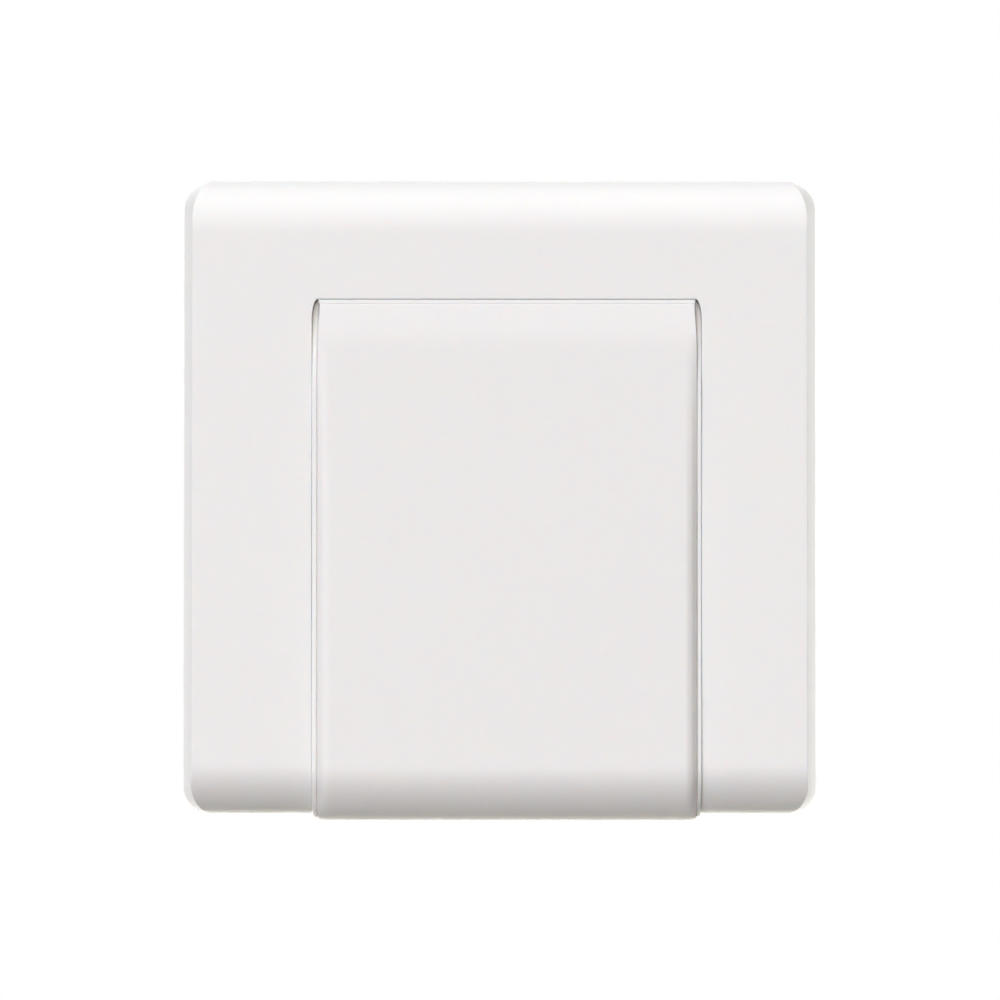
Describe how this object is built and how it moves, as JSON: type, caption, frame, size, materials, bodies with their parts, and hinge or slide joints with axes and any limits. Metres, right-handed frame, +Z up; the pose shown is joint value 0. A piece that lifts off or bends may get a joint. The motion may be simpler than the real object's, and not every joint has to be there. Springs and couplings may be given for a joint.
{
  "type": "rocker wall switch",
  "caption": "Square wall switch plate with one large rocker key that rolls over its lower edge, complete with frame, switching mechanism, terminals and wall screws.",
  "frame": {"origin": "centre of the square plate on the wall plane, on the rear face of the mounting frame", "axes": "-Y is the front that faces the room, +Y points into the wall, +Z is up, +X is to the right when the switch is seen from the front"},
  "size_m": [0.086, 0.0338, 0.0868],
  "materials": {
    "plate_plastic": "satin white",
    "key_plastic": "satin white",
    "frame_plastic": "fine moulded",
    "housing_plastic": "fine moulded",
    "cover_plastic": "fine moulded",
    "carrier_plastic": "fine moulded",
    "plunger_plastic": "smooth",
    "terminal_brass": "satin",
    "lever_bronze": "satin",
    "contact_silver": "polished",
    "screw_steel": "zinc plated",
    "clamp_steel": "zinc plated",
    "spring_steel": "bright"
  },
  "bodies": {
    "base": {"front_plate": "plate_plastic", "mounting_frame": "frame_plastic", "wall_screw_left": "screw_steel", "wall_screw_right": "screw_steel", "mechanism_housing": "housing_plastic", "mechanism_cover": "cover_plastic", "common_terminal": "terminal_brass", "upper_contact_terminal": "terminal_brass", "lower_contact_terminal": "terminal_brass", "upper_fixed_contact": "contact_silver", "lower_fixed_contact": "contact_silver", "common_terminal_screw": "screw_steel", "upper_terminal_screw": "screw_steel", "lower_terminal_screw": "screw_steel", "common_wire_clamp": "clamp_steel", "upper_wire_clamp": "clamp_steel", "lower_wire_clamp": "clamp_steel"},
    "rocker": {"rocker_key": "key_plastic", "rocker_carrier": "carrier_plastic", "plunger_spring": "spring_steel"},
    "plunger_body": {"plunger": "plunger_plastic"},
    "lever": {"contact_lever": "lever_bronze", "upper_moving_contact": "contact_silver", "lower_moving_contact": "contact_silver"}
  },
  "joints": [
    {"name": "rocker_tilt", "type": "hinge", "parent": "base", "child": "rocker", "pos_m": [0.00095, 0.0005, -0.0087], "axis": [1, 0, 0], "range_deg": [0, 5]},
    {"name": "plunger_slide", "type": "slide", "parent": "rocker", "child": "plunger_body", "axis": [0, -0.999, 0.0436], "range_m": [0, 0.0006], "stiffness_N_per_m": 5, "deforming": ["plunger_spring"]},
    {"name": "lever_flip", "type": "hinge", "parent": "base", "child": "lever", "pos_m": [0.00095, 0.0118, -0.0087], "axis": [1, 0, 0], "range_deg": [-16, 0]}
  ],
  "couplings": [
    {"joint": "lever_flip", "follows": "rocker_tilt", "ratio": -3.2}
  ]
}
